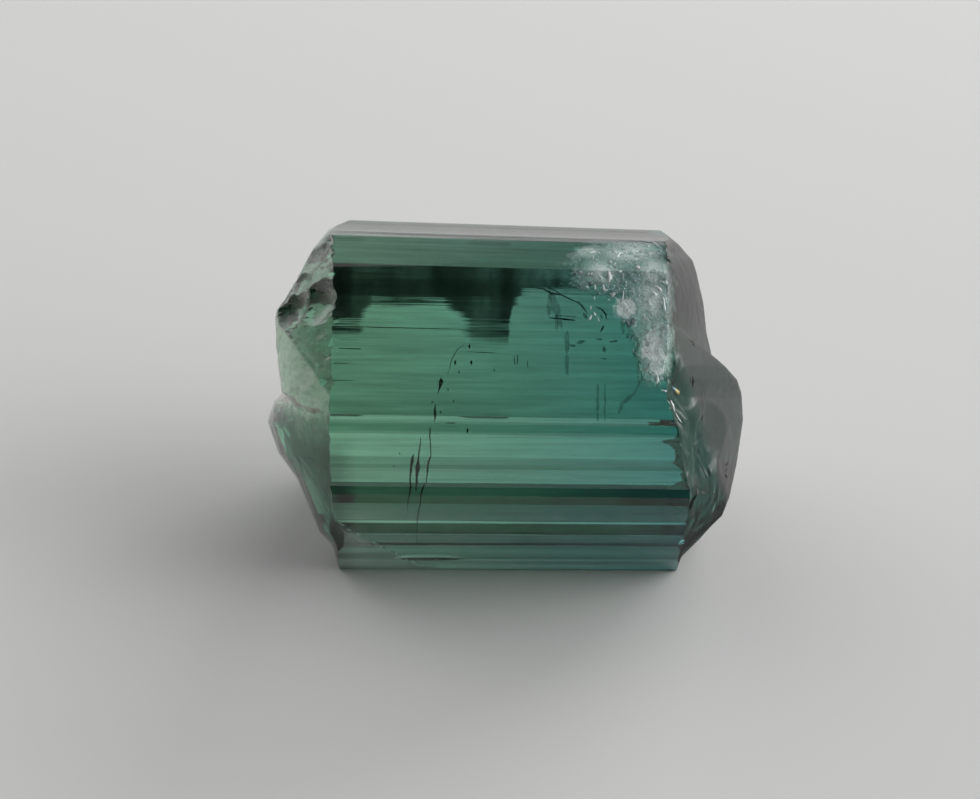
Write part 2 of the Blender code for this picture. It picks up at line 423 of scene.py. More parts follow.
def make_crystal():
    """The whole crystal as one clear piece that stands for the CAD node. Its skin is kept for ray casts."""
    crystal = new_piece("crystal", crystal_mesh())
    cutters = [bite_flake(crystal, name, flake) for name, flake in FLAKES.items()]
    apply_modifiers(crystal)
    for cutter in cutters:
        bpy.data.objects.remove(cutter)
    crystal.data.materials.clear()
    crystal.data.materials.append(tourmaline())
    crystal.data.set_sharp_from_angle(angle=math.radians(SHARP_ANGLE))
    mark_breaks(crystal.data)
    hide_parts("tourmaline_crystal")
    corners = [v.co for v in crystal.data.vertices]
    return BVHTree.FromPolygons(corners, [p.vertices for p in crystal.data.polygons])


# ---------------- tools for materials
class Nodes:
    """Short names for making and joining the nodes of one node tree."""

    def __init__(self, tree):
        self.tree = tree

    def add(self, kind, *links, **values):
        """A new node of a kind, its inputs linked in order, or set by name with _ for a space."""
        node = self.tree.nodes.new("ShaderNode" + kind)
        for key, value in values.items():
            if hasattr(node, key):
                setattr(node, key, value)
            else:
                self.join(node.inputs[key.replace("_", " ")], value)
        for socket, value in zip(node.inputs, links):
            self.join(socket, value)
        return node

    def join(self, socket, value):
        """Link a node's output into the socket, or set the socket's value."""
        if isinstance(value, bpy.types.NodeSocket):
            self.tree.links.new(value, socket)
        elif value is not None:
            socket.default_value = value

    def math(self, operation, *values):
        """The output of a Math node."""
        return self.add("Math", *values, operation=operation).outputs[0]

    def fold(self, operation, values):
        """One value from many, by Math nodes in a row."""
        total = values[0]
        for value in values[1:]:
            total = self.math(operation, total, value)
        return total

    def plus(self, *values):
        """The sum of the values."""
        return self.fold("ADD", values)

    def minus(self, value, less):
        """The value with another one taken from it."""
        return self.math("SUBTRACT", value, less)

    def times(self, *values):
        """The product of the values."""
        return self.fold("MULTIPLY", values)

    def most(self, *values):
        """The greatest of the values."""
        return self.fold("MAXIMUM", values)

    def between(self, value, low, high, first=0.0, last=1.0):
        """The value mapped from low..high to first..last, and held there outside it."""
        return self.add("MapRange", value, low, high, first, last).outputs[0]

    def mix(self, share, first, second, blend="MIX"):
        """The colour output of a Mix node."""
        node = self.tree.nodes.new("ShaderNodeMix")
        node.data_type = "RGBA"
        node.blend_type = blend
        for socket, value in zip((node.inputs[0], node.inputs[6], node.inputs[7]), (share, first, second)):
            self.join(socket, value)
        return node.outputs[2]

    def ramp(self, value, stops):
        """The height at the value of a line through (position, height) stops."""
        first, last = stops[0][0], stops[-1][0]
        node = self.add("ValToRGB", self.between(value, first, last))
        elements = node.color_ramp.elements
        while len(elements) < len(stops):
            elements.new(0.5)
        for element, (position, height) in zip(elements, stops):
            element.position = (position - first) / (last - first)
            element.color = (height, height, height, 1)
        return node.outputs[0]

    def noise(self, place, **values):
        """The output of a Noise Texture node."""
        return self.add("TexNoise", place, **values).outputs[0]

    def bump(self, height, depth, normal=None, strength=1.0):
        """The normal of a surface whose relief is the height times a depth in millimetres."""
        values = {"Strength": strength, "Distance": depth * MM, "Height": height, "Normal": normal}
        return self.add("Bump", **values).outputs[0]


def new_material(name):
    """A new material and its shader."""
    material = bpy.data.materials.new(name)
    material.use_nodes = True
    return material, material.node_tree.nodes["Principled BSDF"]


# ---------------- the look of the crystal
GLASS_IOR = 1.63
GLASS_COLOUR = (0.22, 0.67, 0.46, 1)    # what the stone lets through
GLASS_DENSITY = 250.0                   # per metre

# Tints of the light that crosses the skin.
LEFT_COLOUR = (0.97, 1.0, 0.97, 1)
RIGHT_COLOUR = (0.27, 0.59, 0.77, 1)
# Faces darkened by painted shade are also painted greener.
SHADED_COLOUR = (0.55, 1.0, 0.80, 1)
SHOULDER_COLOUR = (0.94, 0.80, 0.86, 1)
# Painted shade on the left break: its near flake, the rest of it, and a dark band.
LEFT_FLAKE_SHADE_COLOUR = (0.06, 0.09, 0.07, 1)
LEFT_BREAK_SHADE_COLOUR = (0.38, 0.42, 0.34, 1)
CLEAR_COLOUR = (0.95, 0.97, 0.85, 1)
BAND_SHADE_COLOUR = (0.03, 0.06, 0.045, 1)
RIGHT_BREAK_COLOUR = (0.012, 0.013, 0.013, 1)
RIGHT_NEAR_COLOUR = (0.015, 0.050, 0.045, 1)
BRUISE_COLOUR = (0.80, 0.94, 0.96, 1)
HEART_COLOUR = (0.87, 0.98, 0.97, 1)
BRUISE_TINT = 0.5

# Noises. Streaks are (features per mm along the prism, features per mm across it).
CLOUD = {"Scale": 2.2 / MM, "Detail": 5.0, "Roughness": 0.65}
CRUMPLE = {"Scale": 4.5 / MM, "Detail": 6.0, "Roughness": 0.7}
SWELL = {"Scale": 0.9 / MM, "Detail": 2.0, "Distortion": 0.6}
STREAK = {"Scale": 1.0, "Detail": 3.0, "Roughness": 0.6}
FINE_STREAKS = (0.10, 9.0)
BROAD_STREAKS = (0.35, 3.5)
SHADE_COMB_STREAKS = (0.5, 9.0)
SHADE_BLOTCH_STREAKS = (3.0, 1.5)
JAG_STREAKS = (3.5, 0.5)
MOTTLE_STREAKS = (2.5, 2.5)
RELIEF_STREAKS = (0.06, 7.0)

# Borders, as the two values between which a mask goes from 0 to 1: places in mm, or levels of a noise.
MIDDLE = (0.35, 0.65)
SHADE_BLOTCH_BORDER = (0.3, 0.7)
SHADE_BORDER = (0.2, 0.5)
ENDS_X = (-4.0, 4.5)
BREAKS_X = (-1.0, 1.0)
BACK_SHADE_EDGE_BORDER = (-0.06, 0.14)
LEFT_BREAK_RISE = (1.6, 3.2)
MOTTLE_RISE = (1.4, 2.2)
CLEAR_RISE = (3.1, 3.4)
RIDGE_BORDER = (0.05, -0.05)
BAND_BORDER = (0.38, 0.08)
VALLEY_BORDER = (-0.15, 0.15)
RIGHT_BREAK_X = (4.0, 4.3)
DUST_Z = (8.39, 8.42)
SCAR_BORDER = (0.0, 0.12)
# Zones of the skin, each with a border along one or two directions.
SHOULDER_ZONE = {"z": (7.25, 7.45), "x": (-1.5, 1.0)}
SHADED_CORNER_ZONE = {"x": (-3.8, -4.3), "rise": (2.1, 1.5)}
BACK_SHADE_ZONE = {"y": (2.6, 3.0), "z": (4.75, 4.6)}
CROWN_ZONE = {"y": (-0.75, -0.60), "z": (7.2, 7.6)}
FOOT_ZONE = {"rise": (0.25, 0.0), "y": (-1.0, -1.4)}
BRUISE_ZONE = {"y": (0.4, 0.0)}
LEFT_BREAK_ZONE = {"x": (-3.5, -4.0)}
BAND_ZONE = {"rise": (2.75, 2.45)}

# Shares of light that are let through, at a mask's 0 and 1.
FINE_SHARES = (0.88, 1.06)
BROAD_SHARES = (0.90, 1.07)
SHADE_BLOTCH_SHARES = (0.6, 1.4)
# Painted shade in the lower left corner, at the zone's 0 and 1.
CORNER_SHADE_SHARES = (1.0, 0.62)
# Painted shade: a noise moves the edge of the upper back face's painted shade by so many mm.
SHADE_COMB_DEPTH = 0.5    # mm that a noise moves the dark back face's edge
JAG_DEPTH = 1.2     # mm that a noise moves the clear facet's lower edge

# Dullness: the share of the skin that scatters light and isn't clear.
MOTTLE_DULL = (0.12, 0.52)
LOW_MOTTLE = (0.7, 1.0)    # times the mottle's, low down and higher up
CLEAR_DULL = (0.44, 0.56)
BAND_DULL = (1.0, 0.35)    # times the break's, beside the band and in it
DUST_DULL = (0.0, 0.20)
FOOT_DULL = (0.02, 0.10)
SCAR_DULL = 0.22

# Roughness, and the depths of the relief in mm.
RIGHT_BREAK_ROUGH = (0.0, 0.30)
CRUSHED_ROUGH = (0.03, 0.22)
CRUSHED_GRAIN = (0.45, 0.7)
FOOT_ROUGH = 0.10
SCAR_ROUGH = 0.25
CROWN_ROUGH = 0.13
RELIEF_DEPTH = 0.004
SWELL_DEPTH = 0.05
CRUMPLE_DEPTH = 0.06
NEAR_DEPTH = 1.0
NEAR_LEAN = 0.9
NEAR_WAVES = 0.5

# Slanted lines over the front: each goes through a point, and runs left by the slope for each mm up.
Slant = namedtuple("Slant", "x rise slope")
RIDGE = Slant(-5.75, 4.79, 0.739)
BAND = Slant(-5.82, 2.53, 0.507)
VALLEY = Slant(4.61, 3.60, 0.36)

# The bars of painted shade on the upper back face and their lower edge, as (x, share of light), (z, share)
# and (x, z). The painted shade stands in for the dark band of shade seen through the crystal.
BACK_SHADE_BARS = [
    (-4.6, 0.04), (-4.2, 0.05), (-4.05, 0.15), (-3.5, 0.17), (-3.3, 0.11), (-2.15, 0.14), (-1.95, 0.06),
    (-1.2, 0.07), (-0.85, 0.16), (-0.55, 0.22), (-0.3, 0.16), (-0.15, 0.06), (0.05, 0.08), (0.35, 0.3),
    (1.0, 0.45), (1.25, 0.3), (1.5, 0.55), (5.0, 0.75),
]
BACK_SHADE_ROWS = [(2.7, 1.0), (3.2, 0.95), (3.4, 0.45), (3.85, 0.45), (4.0, 0.8), (4.6, 0.9)]
BACK_SHADE_EDGE = [
    (-4.6, 2.7), (-3.95, 2.7), (-3.6, 3.15), (-1.75, 3.15), (-1.3, 2.85), (-0.95, 2.62), (0.0, 2.62),
    (0.12, 3.1), (0.4, 3.5), (5.0, 3.6),
]
# The scar's upper edge along the foot, as (x, rise above the base).
SCAR_BASE = 2.0
SCAR_LINE = [(-4.6, 1.95), (-4.3, 1.78), (-3.26, 1.21), (-2.44, 0.76), (-1.75, 0.66), (-1.5, 0.0)]

# A patch of the bruise: its ovals as (x, rise, half width, half height), their border in squared radii, and
# how white it is at the two ends of a grain noise's range.
Patch = namedtuple("Patch", "ovals border grain white")
OVAL_RAG = 3.0    # how far a noise moves an oval's border
BRUISE = Patch(
    ovals=[(2.75, 6.45, 1.25, 0.7), (3.65, 5.6, 0.65, 1.3), (3.8, 4.3, 0.45, 0.9)],
    border=(1.2, 0.6),
    grain=(0.45, 0.65),
    white=(0.16, 0.48),
)
FROST = Patch(
    ovals=[
        (2.1, 6.85, 0.35, 0.14), (2.45, 6.3, 0.45, 0.35), (3.2, 6.85, 0.9, 0.3), (3.75, 6.3, 0.4, 0.5),
        (3.7, 5.6, 0.5, 0.8), (3.82, 4.5, 0.42, 1.0),
    ],
    border=(1.5, 0.1),
    grain=(0.42, 0.60),
    white=(0.28, 0.92),
)
HEART = Patch(
    ovals=[(3.76, 4.35, 0.3, 0.48), (3.9, 4.0, 0.2, 0.45), (3.05, 5.4, 0.3, 0.3), (3.8, 5.6, 0.2, 0.4)],
    border=(1.3, 0.5),
    grain=(0.35, 0.6),
    white=(0.65, 1.0),
)


class Skin(Nodes):
    """The nodes of the crystal's skin, with a point's place in mm, its marks, among them the faces' painted
    shade, and its noises.
    """

    def __init__(self, tree):
        super().__init__(tree)
        self.place = self.add("TexCoord").outputs["Object"]
        parts = self.add("SeparateXYZ", self.place).outputs
        self.x, self.y, self.z = (self.math("DIVIDE", part, MM) for part in parts)
        self.rise = self.plus(self.times(self.z, COSINE), self.times(self.y, SINE))
        self.broken = self.add("Attribute", attribute_name="broken").outputs["Fac"]
        self.whole = self.minus(1.0, self.broken)
        self.shade = self.add("Attribute", attribute_name="shade").outputs["Fac"]
        self.cloud = self.noise(self.place, **CLOUD)
        self.crumple = self.noise(self.place, **CRUMPLE)
        self.swell = self.noise(self.place, **SWELL)

    def streaks(self, along, across):
        """Noise drawn out along the prism, with so many features per mm along it and across it."""
        scale = (along / MM, across / MM, across / MM)
        stretched = self.add("VectorMath", self.place, scale, operation="MULTIPLY").outputs[0]
        return self.noise(stretched, **STREAK)

    def zone(self, borders, *masks):
        """The mask of a zone: the product of the given masks and of a ramp for each border."""
        ramps = [self.between(getattr(self, along), *border) for along, border in borders.items()]
        return self.times(*masks, *ramps)

    def right_of(self, line):
        """How far a point lies to the right of a slanted line, in mm along X."""
        return self.plus(self.times(self.minus(self.rise, line.rise), line.slope), self.minus(self.x, line.x))


def growth_lines(skin):
    """Shares of light in fine growth lines, and in broader ones that come and go."""
    fine = skin.between(skin.streaks(*FINE_STREAKS), *MIDDLE, *FINE_SHARES)
    broad = skin.between(skin.streaks(*BROAD_STREAKS), *MIDDLE, *BROAD_SHARES)
    return skin.times(fine, broad)


def painted_back_shade(skin):
    """Painted shade on the upper back face: shares of light through it, in bars of its own along the prism.
    """
    comb = skin.times(skin.minus(skin.streaks(*SHADE_COMB_STREAKS), 0.5), SHADE_COMB_DEPTH)
    edge = skin.minus(skin.plus(skin.z, comb), skin.ramp(skin.x, BACK_SHADE_EDGE))
    face = skin.times(skin.zone(BACK_SHADE_ZONE, skin.between(edge, *BACK_SHADE_EDGE_BORDER)), skin.whole)
    blotches = skin.between(skin.streaks(*SHADE_BLOTCH_STREAKS), *SHADE_BLOTCH_BORDER, *SHADE_BLOTCH_SHARES)
    bars = skin.times(skin.ramp(skin.x, BACK_SHADE_BARS), blotches, skin.ramp(skin.z, BACK_SHADE_ROWS))
    return skin.plus(skin.times(face, skin.minus(bars, 1.0)), 1.0)


def light_share(skin):
    """The share of light that a face lets through, lowered by painted shade on the faces, in bars on the
    upper back face and in the lower left corner.
    """
    lines = skin.times(growth_lines(skin), painted_back_shade(skin))
    share = skin.times(skin.minus(1.0, skin.shade), lines)
    # Painted shade: the lower left corner lets through less light, dimming the bright light that comes
    # through its flake.
    share = skin.times(share, skin.between(skin.zone(SHADED_CORNER_ZONE), 0.0, 1.0, *CORNER_SHADE_SHARES))
    return skin.math("MINIMUM", share, 1.0)


def face_colour(skin):
    """The tint of the faces: bluer to the right, greener where painted shade darkens them, greyer on the
    shoulder's top.
    """
    colour = skin.mix(skin.between(skin.x, *ENDS_X), LEFT_COLOUR, RIGHT_COLOUR)
    colour = skin.mix(skin.between(skin.shade, *SHADE_BORDER), colour, SHADED_COLOUR, "MULTIPLY")
    return skin.mix(skin.zone(SHOULDER_ZONE), colour, SHOULDER_COLOUR, "MULTIPLY")


def clear_facet(skin):
    """The mask of the left break's clear facet, left of its ridge and above a jagged line."""
    jagged = skin.plus(skin.rise, skin.times(skin.streaks(*JAG_STREAKS), JAG_DEPTH))
    left = skin.between(skin.right_of(RIDGE), *RIDGE_BORDER)
    return skin.times(left, skin.between(jagged, *CLEAR_RISE))


def flake_shade_band(skin):
    """The mask of the band of painted shade down the left break's near flake."""
    from_band = skin.math("ABSOLUTE", skin.right_of(BAND))
    return skin.zone(BAND_ZONE, skin.between(from_band, *BAND_BORDER))


def left_break(skin):
    """The tint of the left break and how dull it is. The tint is painted shade: dark on the near flake, grey
    higher up and darkest in a band, with a clear facet left light.
    """
    clear = clear_facet(skin)
    band = flake_shade_band(skin)
    colour = skin.mix(skin.between(skin.rise, *LEFT_BREAK_RISE), LEFT_FLAKE_SHADE_COLOUR, LEFT_BREAK_SHADE_COLOUR)
    colour = skin.mix(clear, colour, CLEAR_COLOUR)
    colour = skin.mix(band, colour, BAND_SHADE_COLOUR)
    mottle = skin.between(skin.streaks(*MOTTLE_STREAKS), *MIDDLE, *MOTTLE_DULL)
    mottle = skin.times(mottle, skin.between(skin.rise, *MOTTLE_RISE, *LOW_MOTTLE))
    dull = skin.mix(clear, mottle, skin.between(skin.cloud, *MIDDLE, *CLEAR_DULL))
    dull = skin.times(dull, skin.between(band, 0.0, 1.0, *BAND_DULL))
    return colour, skin.times(dull, skin.zone(LEFT_BREAK_ZONE, skin.broken))


def skin_colour(skin, left_colour):
    """The tint of the faces and of both breaks, the right one greener on the near side of its valley.

    Light takes the square root of the colour each time that it crosses the skin, so its share is squared.
    """
    valley = skin.between(skin.right_of(VALLEY), *VALLEY_BORDER)
    right_colour = skin.mix(valley, RIGHT_NEAR_COLOUR, RIGHT_BREAK_COLOUR)
    break_colour = skin.mix(skin.between(skin.x, *BREAKS_X), left_colour, right_colour)
    colour = skin.mix(skin.broken, face_colour(skin), break_colour)
    share = light_share(skin)
    return skin.add("VectorMath", colour, operation="SCALE", Scale=skin.times(share, share)).outputs[0]


def patch_mask(skin, patch, ragged):
    """The mask of a patch's ovals on the front, their border ragged by a noise."""
    rag = skin.times(skin.minus(ragged, 0.5), OVAL_RAG)
    ovals = []
    for x, rise, half_width, half_height in patch.ovals:
        across = skin.math("DIVIDE", skin.minus(skin.x, x), half_width)
        up = skin.math("DIVIDE", skin.minus(skin.rise, rise), half_height)
        far = skin.plus(skin.times(across, across), skin.times(up, up), rag)
        ovals.append(skin.between(far, *patch.border))
    return skin.zone(BRUISE_ZONE, skin.most(*ovals))


def patch_white(skin, patch, mask, grain):
    """How white a patch is, in the grain of a noise."""
    return skin.times(mask, skin.between(grain, *patch.grain, *patch.white))


def foot_and_scar(skin):
    """The masks of the hazy foot and of the scar on it."""
    foot = skin.zone(FOOT_ZONE)
    below = skin.minus(skin.ramp(skin.x, SCAR_LINE), skin.plus(skin.rise, SCAR_BASE))
    return foot, skin.times(skin.between(below, *SCAR_BORDER), foot, skin.whole)


def skin_relief(skin, bruised):
    """Growth lines combed into the faces, shell-like swells on the breaks and a crumpled bruise.

    The near side of the right break also leans its shading towards the front.
    """
    normal = skin.bump(skin.times(skin.streaks(*RELIEF_STREAKS), skin.whole), RELIEF_DEPTH)
    normal = skin.bump(skin.times(skin.swell, skin.broken), SWELL_DEPTH, normal)
    near_side = skin.between(skin.right_of(VALLEY), *reversed(VALLEY_BORDER))
    near_side = skin.times(near_side, skin.between(skin.x, *RIGHT_BREAK_X), skin.broken)
    slope = skin.plus(skin.times(skin.y, NEAR_LEAN), skin.times(skin.swell, NEAR_WAVES))
    normal = skin.bump(slope, NEAR_DEPTH, normal, strength=near_side)
    return skin.bump(skin.times(skin.crumple, bruised), CRUMPLE_DEPTH, normal)


def tourmaline():
    """Clear blue-green glass that drinks red light, with growth lines, broken ends and a crushed corner."""
    material, shader = new_material("tourmaline")
    skin = Skin(material.node_tree)
    bruised = patch_mask(skin, BRUISE, skin.cloud)
    frost = patch_mask(skin, FROST, skin.crumple)
    heart = patch_mask(skin, HEART, skin.crumple)
    left_colour, left_dull = left_break(skin)
    foot, scar = foot_and_scar(skin)

    colour = skin_colour(skin, left_colour)
    colour = skin.mix(skin.times(bruised, BRUISE_TINT), colour, BRUISE_COLOUR)
    colour = skin.mix(skin.most(frost, heart), colour, HEART_COLOUR)
    skin.join(shader.inputs["Base Color"], colour)

    haze = skin.times(foot, skin.between(skin.cloud, *MIDDLE, *FOOT_DULL))
    dull = skin.most(
        patch_white(skin, BRUISE, bruised, skin.crumple),
        patch_white(skin, FROST, frost, skin.crumple),
        patch_white(skin, HEART, heart, skin.cloud),
        left_dull,
        skin.times(skin.between(skin.z, *DUST_Z, *DUST_DULL), skin.whole),
        skin.plus(haze, skin.times(scar, SCAR_DULL)),
    )
    skin.join(shader.inputs["Transmission Weight"], skin.minus(1.0, dull))

    roughness = skin.most(
        skin.times(skin.broken, skin.between(skin.x, *RIGHT_BREAK_X, *RIGHT_BREAK_ROUGH)),
        skin.times(bruised, skin.between(skin.cloud, *CRUSHED_GRAIN, *CRUSHED_ROUGH)),
        skin.times(foot, FOOT_ROUGH),
        skin.times(scar, SCAR_ROUGH),
        skin.times(skin.zone(CROWN_ZONE), skin.whole, CROWN_ROUGH),
    )
    skin.join(shader.inputs["Roughness"], roughness)
    skin.join(shader.inputs["Normal"], skin_relief(skin, bruised))

    shader.inputs["IOR"].default_value = GLASS_IOR
    glass = skin.add("VolumeAbsorption")
    glass.inputs["Color"].default_value = GLASS_COLOUR
    glass.inputs["Density"].default_value = GLASS_DENSITY
    skin.join(material.node_tree.nodes["Material Output"].inputs["Volume"], glass.outputs[0])
    return material


# ---------------- the other looks
# A solid look has two colours that mottle, a roughness, a cover in each colour, and a transmission.
Solid = namedtuple("Solid", "colour darker roughness cover transmission")
SOLIDS = {
    "dark_mineral": Solid((0.020, 0.035, 0.030, 1), (0.004, 0.006, 0.005, 1), 0.6, (0.8, 1.0), 0.0),
    "dark_smudge": Solid((0.03, 0.08, 0.06, 1), (0.01, 0.03, 0.02, 1), 0.8, (0.20, 0.50), 0.0),
    "dark_veil": Solid((0.05, 0.08, 0.05, 1), (0.02, 0.04, 0.03, 1), 0.8, (0.10, 0.30), 0.0),
    "pale_splinters": Solid((0.93, 0.97, 0.96, 1), (0.62, 0.76, 0.76, 1), 0.45, (0.25, 0.90), 0.4),
    # Painted highlights: pure white flakes that stand in for glints and the bruise's sparkles.
    "painted_glint_splinters": Solid((1.0, 1.0, 1.0, 1), (0.85, 0.97, 1.0, 1), 0.15, (0.8, 1.0), 0.0),
    "pale_scar": Solid((0.42, 0.58, 0.50, 1), (0.25, 0.38, 0.32, 1), 0.5, (0.10, 0.55), 0.3),
    # A painted highlight: a glint in rainbow colours.
    "painted_rainbow_glint": Solid((0.75, 0.62, 0.22, 1), (0.60, 0.50, 0.24, 1), 0.3, (0.8, 1.0), 0.0),
}
SOLID_MOTTLE = {"Scale": 6.0 / MM, "Detail": 4.0, "Roughness": 0.6}
SOLID_RELIEF = 0.01    # mm
SOLID_STRENGTH = 0.5
# The painted rainbow glint: blue on its left and gold on its right.
RAINBOW_GLINT_BLUE = (0.30, 0.48, 0.62, 1)
RAINBOW_GLINT_SPLIT = (4.32, 4.38)    # x in mm, with blue to the left of it and gold to the right
TABLE_COLOUR = (0.8, 0.8, 0.79, 1)
TABLE_ROUGH = 0.6
TABLE_SHINE = 0.2


def solid_look(name):
    """A mottled mineral: two colours, a rough or glossy skin and uneven cover."""
    look = SOLIDS[name]
    material, shader = new_material(name)
    nodes = Nodes(material.node_tree)
    place = nodes.add("TexCoord").outputs["Object"]
    mottle = nodes.noise(place, **SOLID_MOTTLE)
    colour = nodes.mix(nodes.between(mottle, *MIDDLE), look.darker, look.colour)
    # The painted rainbow glint turns blue on its left.
    if name == "painted_rainbow_glint":
        x = nodes.math("DIVIDE", nodes.add("SeparateXYZ", place).outputs[0], MM)
        colour = nodes.mix(nodes.between(x, *RAINBOW_GLINT_SPLIT), RAINBOW_GLINT_BLUE, colour)
    nodes.join(shader.inputs["Base Color"], colour)
    nodes.join(shader.inputs["Alpha"], nodes.between(mottle, *MIDDLE, *look.cover))
    nodes.join(shader.inputs["Normal"], nodes.bump(mottle, SOLID_RELIEF, strength=SOLID_STRENGTH))
    shader.inputs["Roughness"].default_value = look.roughness
    shader.inputs["Transmission Weight"].default_value = look.transmission
    return material


def table_top():
    """Matt pale paper."""
    material, shader = new_material("table")
    shader.inputs["Base Color"].default_value = TABLE_COLOUR
    shader.inputs["Roughness"].default_value = TABLE_ROUGH
    shader.inputs["Specular IOR Level"].default_value = TABLE_SHINE
    return material


# ---------------- what the crystal holds
# Threads and specks as lines of (x, rise, width), in mm.
NEEDLES = [
    [
        (-2.36, 1.61, 0.02), (-2.4, 1.43, 0.09), (-2.44, 1.05, 0.05), (-2.44, 0.77, 0.05),
        (-2.5, 0.41, 0.03), (-2.52, 0.08, 0.01),
    ],
    [(-2.18, 2.05, 0.02), (-2.24, 1.42, 0.05), (-2.26, 1.28, 0.12), (-2.28, 1.0, 0.07), (-2.3, 0.66, 0.02)],
    [
        (-1.94, 2.29, 0.02), (-1.95, 2.08, 0.04), (-1.93, 1.85, 0.03), (-1.91, 1.57, 0.03),
        (-1.98, 1.44, 0.07), (-2.03, 0.88, 0.02),
    ],
    [
        (-2.09, 0.83, 0.05), (-2.16, 0.6, 0.04), (-2.21, 0.26, 0.03), (-2.26, -0.07, 0.03),
        (-2.29, -0.82, 0.01),
    ],
    [(-1.81, 2.86, 0.02), (-1.81, 2.65, 0.08), (-1.83, 2.45, 0.02)],
    [(-1.67, 3.53, 0.03), (-1.67, 3.45, 0.1), (-1.7, 3.3, 0.04), (-1.74, 3.14, 0.01)],
    [
        (0.69, 5.9, 0.01), (0.93, 5.88, 0.035), (1.16, 5.76, 0.045), (1.39, 5.74, 0.03),
        (1.88, 5.52, 0.025), (2.0, 5.39, 0.02),
    ],
    [(0.95, 5.98, 0.01), (1.23, 5.84, 0.03), (1.49, 5.71, 0.01)],
    [(1.09, 5.14, 0.02), (1.49, 5.11, 0.05), (1.72, 5.09, 0.03)], [(1.23, 5.21, 0.01), (1.77, 5.17, 0.02)],
    [(2.28, 5.46, 0.01), (2.44, 5.39, 0.03), (2.54, 5.27, 0.045), (2.56, 5.14, 0.02)],
    [(2.4, 5.24, 0.015), (2.44, 5.19, 0.035)], [(2.5, 4.98, 0.01), (2.46, 4.9, 0.045), (2.42, 4.82, 0.02)],
]
SPECKS = [
    [(-0.95, 4.36, 0.05)], [(-1.31, 3.94, 0.05)], [(-0.9, 3.94, 0.05)], [(-1.21, 3.7, 0.03)],
    [(-0.31, 3.76, 0.03)], [(-1.49, 3.25, 0.03)], [(-1.34, 2.95, 0.03)], [(-1.89, 2.92, 0.03)],
    [(-1.67, 2.67, 0.03)], [(-0.98, 2.23, 0.05)], [(-2.72, 1.62, 0.03)], [(-2.87, 1.3, 0.03)],
    [(-1.5, 2.42, 0.03), (-1.33, 2.41, 0.03)],
    [(-1.03, 4.23, 0.01), (-0.65, 4.21, 0.02), (-0.26, 4.21, 0.01)],
    [(-1.1, 4.39, 0.01), (-1.26, 4.27, 0.02), (-1.38, 4.07, 0.02), (-1.49, 3.64, 0.01)],
    [(-4.29, 4.24, 0.02), (-3.75, 4.23, 0.02)], [(-4.4, 3.86, 0.02), (-4.03, 3.86, 0.01)],
    [(-4.4, 3.43, 0.02), (-3.93, 3.43, 0.01)], [(0.21, 4.12, 0.02), (0.21, 3.92, 0.02)],
    [(0.29, 4.15, 0.02), (0.28, 3.93, 0.02)], [(0.54, 4.02, 0.02), (0.54, 3.86, 0.02)],
    [(3.68, 2.46, 0.04), (3.93, 2.46, 0.04)], [(4.24, 2.48, 0.04), (4.45, 2.48, 0.04)],
    [(-4.45, 4.79, 0.008), (-3.6, 4.79, 0.02), (-1.2, 4.79, 0.016), (-0.5, 4.79, 0.006)],
]
SMUDGES = [
    [(1.86, 4.52, 0.08), (1.94, 4.54, 0.1)], [(1.66, 4.44, 0.06), (1.73, 4.43, 0.08)],
    [(2.66, 4.56, 0.04), (2.8, 4.58, 0.07)], [(2.5, 4.4, 0.06), (2.52, 4.34, 0.07)],
    [(2.46, 4.12, 0.03), (2.53, 4.11, 0.05)], [(1.98, 5.26, 0.05), (2.02, 5.2, 0.09)],
    [(2.3, 4.62, 0.03), (2.4, 4.61, 0.06)], [(1.84, 5.55, 0.05), (1.98, 5.4, 0.08), (2.04, 5.3, 0.04)],
]
VEILS = [
    [(1.09, 5.7, 0.1), (1.09, 5.25, 0.12)], [(1.28, 5.16, 0.1), (1.28, 4.85, 0.08)],
    [(2.98, 5.06, 0.1), (2.98, 4.8, 0.08)], [(1.12, 5.85, 0.1), (1.27, 5.35, 0.22), (1.4, 4.92, 0.1)],
    [(1.55, 4.7, 0.12), (1.55, 4.3, 0.1)], [(1.55, 4.1, 0.1), (1.56, 3.7, 0.08)],
    [(2.35, 3.4, 0.06), (2.35, 2.6, 0.06)], [(2.53, 3.45, 0.03), (2.53, 2.6, 0.04)],
    [(3.49, 3.63, 0.03), (3.29, 3.24, 0.08), (2.98, 2.95, 0.1), (2.9, 2.72, 0.05)],
]
